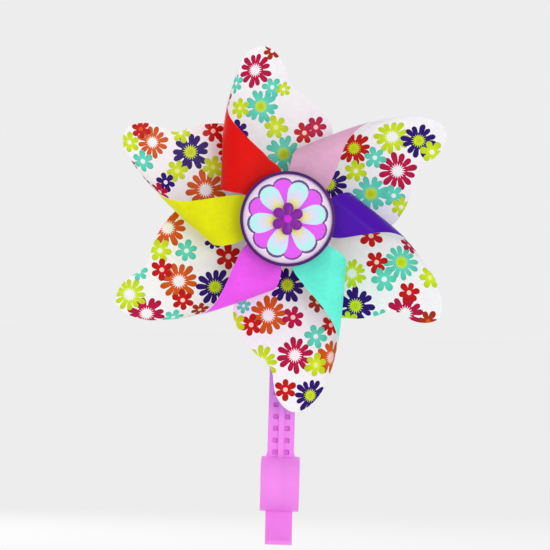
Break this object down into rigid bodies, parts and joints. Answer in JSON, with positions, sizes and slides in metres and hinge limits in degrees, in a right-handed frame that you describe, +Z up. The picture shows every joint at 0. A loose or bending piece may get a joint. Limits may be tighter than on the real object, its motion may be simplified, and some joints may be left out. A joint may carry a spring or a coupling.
{
  "type": "clip-on pinwheel",
  "caption": "Child's bicycle-handlebar pinwheel: curled floral plastic blades on a round-capped rotor, turning on a ribbed stem with a push-on bar clip.",
  "frame": {"origin": "centre of the handlebar clip's bore, where the handlebar's axis passes", "axes": "+X along the handlebar, +Z up the stem towards the rotor, and the rotor and its cap face -Y"},
  "size_m": [0.1716, 0.0644, 0.262],
  "materials": {
    "bracket_plastic": "moulded pink, slightly glossy",
    "axle_metal": "plain zinc-plated",
    "hub_plastic": "moulded purple",
    "rivet_plastic": "natural nylon",
    "cap_plastic": "moulded dark purple",
    "medallion_print": "printed card with an abstract flower",
    "clear_plastic": "clear polished plastic",
    "flower_plastic": "moulded purple",
    "stud_plastic": "moulded magenta",
    "sheet_red": "red vinyl sheet with a floral print on its other side",
    "sheet_pink": "light pink vinyl sheet with a floral print on its other side",
    "sheet_purple": "purple vinyl sheet with a floral print on its other side",
    "sheet_turquoise": "turquoise vinyl sheet with a floral print on its other side",
    "sheet_magenta": "magenta vinyl sheet with a floral print on its other side",
    "sheet_yellow": "yellow vinyl sheet with a floral print on its other side"
  },
  "bodies": {
    "bracket": {"handlebar_bracket": "bracket_plastic", "axle_pin": "axle_metal", "back_washer": "axle_metal", "front_washer": "axle_metal", "axle_retainer": "axle_metal"},
    "rotor": {"hub_spindle": "hub_plastic", "root_rivets": "rivet_plastic", "front_flange": "hub_plastic", "front_cap": "cap_plastic", "medallion_disc": "medallion_print", "medallion_dome": "clear_plastic", "flower_button": "flower_plastic", "button_stud": "stud_plastic", "blade_red": "sheet_red", "blade_pink": "sheet_pink", "blade_purple": "sheet_purple", "blade_turquoise": "sheet_turquoise", "blade_magenta": "sheet_magenta", "blade_yellow": "sheet_yellow"}
  },
  "joints": [
    {"name": "rotor_spin", "type": "hinge", "parent": "bracket", "child": "rotor", "pos_m": [0, -0.022, 0.14], "axis": [0, -1, 0], "continuous": true}
  ]
}
